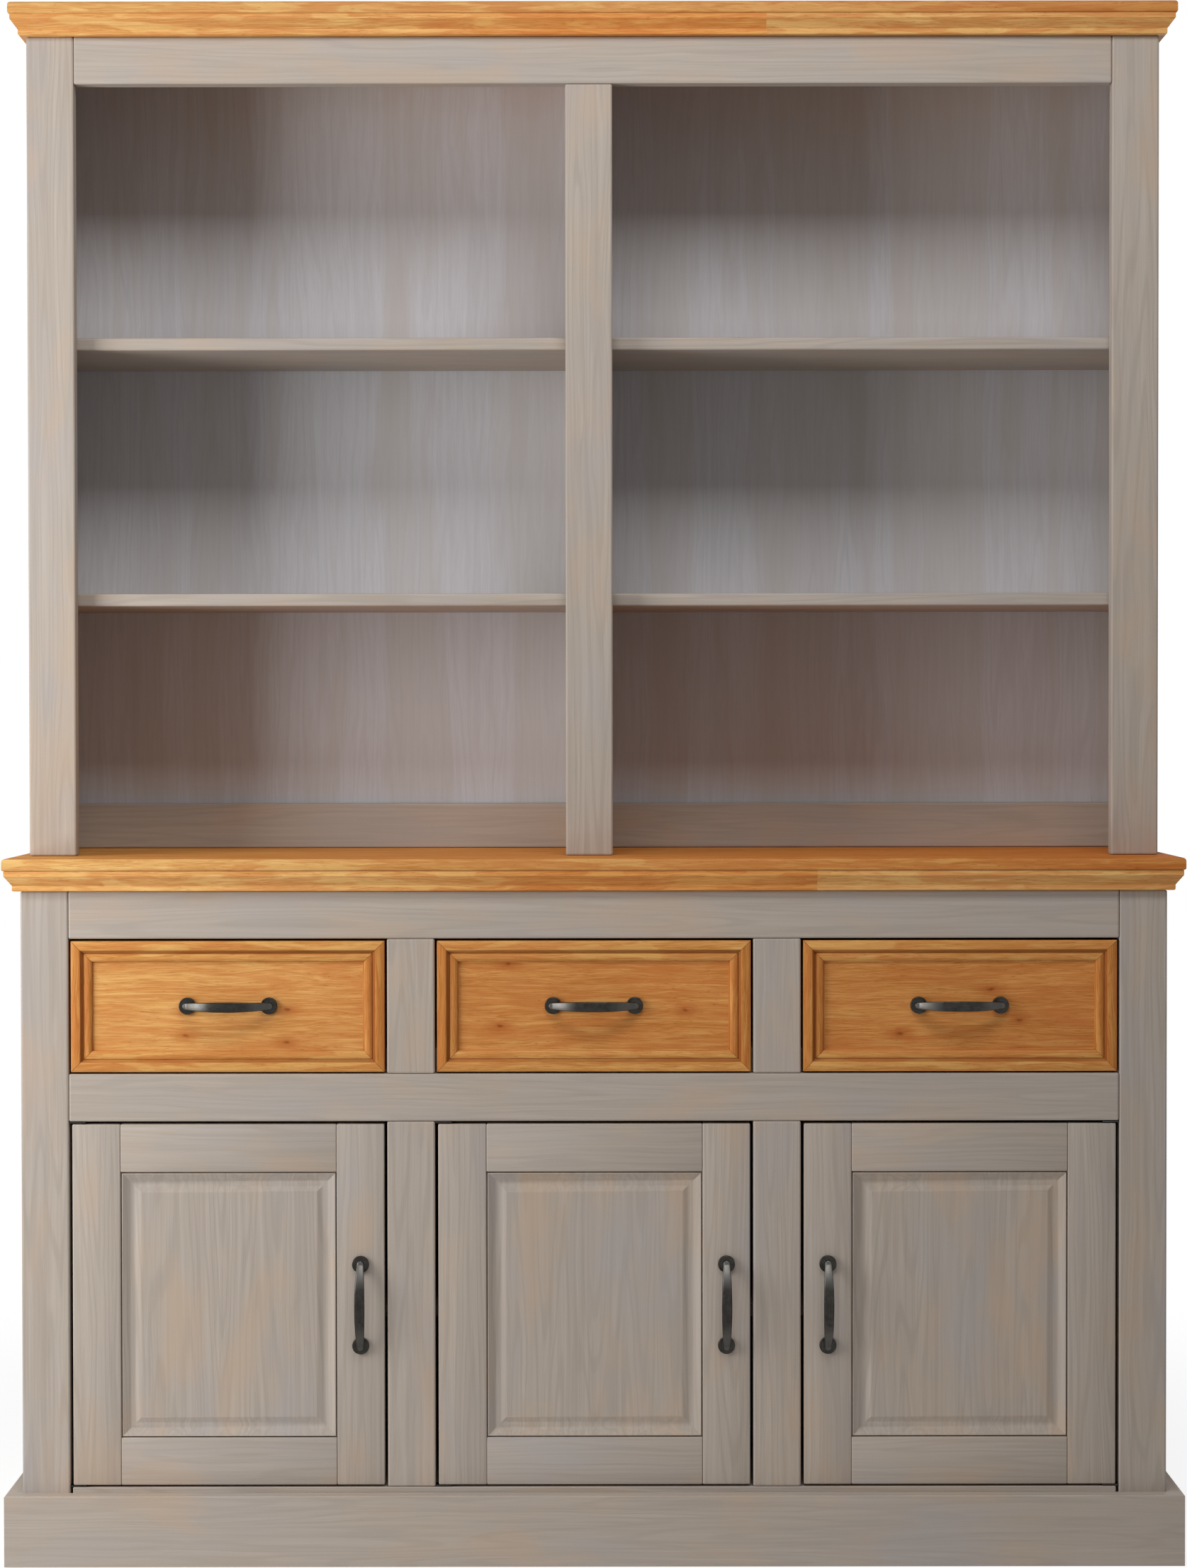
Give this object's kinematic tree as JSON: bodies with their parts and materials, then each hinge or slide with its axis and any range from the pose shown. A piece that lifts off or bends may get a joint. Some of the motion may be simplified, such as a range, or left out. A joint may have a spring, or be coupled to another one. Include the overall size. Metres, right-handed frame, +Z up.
{
  "type": "sideboard with shelf hutch",
  "caption": "Tall pine sideboard: drawers over raised-panel doors on a plinth, a moulded counter, and an open hutch of shelves with a moulded cornice.",
  "frame": {"origin": "middle of the bounding box at floor level, under the plinth", "axes": "+Z up, -Y towards the front with the doors and drawers, +X to the right as seen from the front"},
  "size_m": [1.386, 0.3662, 1.8447],
  "materials": {
    "grey_glazed_pine": "satin glaze",
    "honey_stained_pine": "satin varnish",
    "plain_pine": "bare",
    "grey_back_board": "matt glaze",
    "black_iron": "waxed"
  },
  "bodies": {
    "carcass": {"plinth_front": "grey_glazed_pine", "plinth_left": "grey_glazed_pine", "plinth_right": "grey_glazed_pine", "base_stile_left": "grey_glazed_pine", "base_stile_right": "grey_glazed_pine", "base_top_rail": "grey_glazed_pine", "base_middle_rail": "grey_glazed_pine", "drawer_post_left": "grey_glazed_pine", "drawer_post_right": "grey_glazed_pine", "door_post_left": "grey_glazed_pine", "door_post_right": "grey_glazed_pine", "base_floor": "grey_glazed_pine", "base_back_panel": "grey_back_board", "base_side_left": "grey_glazed_pine", "base_side_right": "grey_glazed_pine", "base_partition_left": "grey_glazed_pine", "base_partition_right": "grey_glazed_pine", "cupboard_shelf_left": "grey_glazed_pine", "cupboard_shelf_centre": "grey_glazed_pine", "cupboard_shelf_right": "grey_glazed_pine", "counter_moulding": "honey_stained_pine", "counter_board": "honey_stained_pine", "hutch_stile_left": "grey_glazed_pine", "hutch_stile_middle": "grey_glazed_pine", "hutch_stile_right": "grey_glazed_pine", "hutch_top_rail": "grey_glazed_pine", "hutch_back_panel": "grey_back_board", "hutch_back_rail": "grey_glazed_pine", "hutch_side_left": "grey_glazed_pine", "hutch_side_right": "grey_glazed_pine", "hutch_partition": "grey_glazed_pine", "hutch_shelf_lower_left": "grey_glazed_pine", "hutch_shelf_lower_right": "grey_glazed_pine", "hutch_shelf_upper_left": "grey_glazed_pine", "hutch_shelf_upper_right": "grey_glazed_pine", "cornice": "honey_stained_pine", "door_left_lower_pivot": "black_iron", "door_left_upper_pivot": "black_iron", "door_centre_lower_pivot": "black_iron", "door_centre_upper_pivot": "black_iron", "door_right_lower_pivot": "black_iron", "door_right_upper_pivot": "black_iron"},
    "drawer_left": {"drawer_left_front": "honey_stained_pine", "drawer_left_box": "plain_pine", "drawer_left_handle": "black_iron"},
    "drawer_centre": {"drawer_centre_front": "honey_stained_pine", "drawer_centre_box": "plain_pine", "drawer_centre_handle": "black_iron"},
    "drawer_right": {"drawer_right_front": "honey_stained_pine", "drawer_right_box": "plain_pine", "drawer_right_handle": "black_iron"},
    "door_left": {"door_left_frame": "grey_glazed_pine", "door_left_panel": "grey_glazed_pine", "door_left_handle": "black_iron"},
    "door_centre": {"door_centre_frame": "grey_glazed_pine", "door_centre_panel": "grey_glazed_pine", "door_centre_handle": "black_iron"},
    "door_right": {"door_right_frame": "grey_glazed_pine", "door_right_panel": "grey_glazed_pine", "door_right_handle": "black_iron"}
  },
  "joints": [
    {"name": "drawer_left_slide", "type": "slide", "parent": "carcass", "child": "drawer_left", "axis": [0, -1, 0], "range_m": [0, 0.24]},
    {"name": "drawer_centre_slide", "type": "slide", "parent": "carcass", "child": "drawer_centre", "axis": [0, -1, 0], "range_m": [0, 0.24]},
    {"name": "drawer_right_slide", "type": "slide", "parent": "carcass", "child": "drawer_right", "axis": [0, -1, 0], "range_m": [0, 0.24]},
    {"name": "door_left_hinge", "type": "hinge", "parent": "carcass", "child": "door_left", "pos_m": [-0.6055, -0.14885, 0.0925], "axis": [0, 0, -1], "range_deg": [0, 100]},
    {"name": "door_centre_hinge", "type": "hinge", "parent": "carcass", "child": "door_centre", "pos_m": [-0.17483, -0.14885, 0.0925], "axis": [0, 0, -1], "range_deg": [0, 100]},
    {"name": "door_right_hinge", "type": "hinge", "parent": "carcass", "child": "door_right", "pos_m": [0.6055, -0.14885, 0.0925], "axis": [0, 0, 1], "range_deg": [0, 100]}
  ]
}
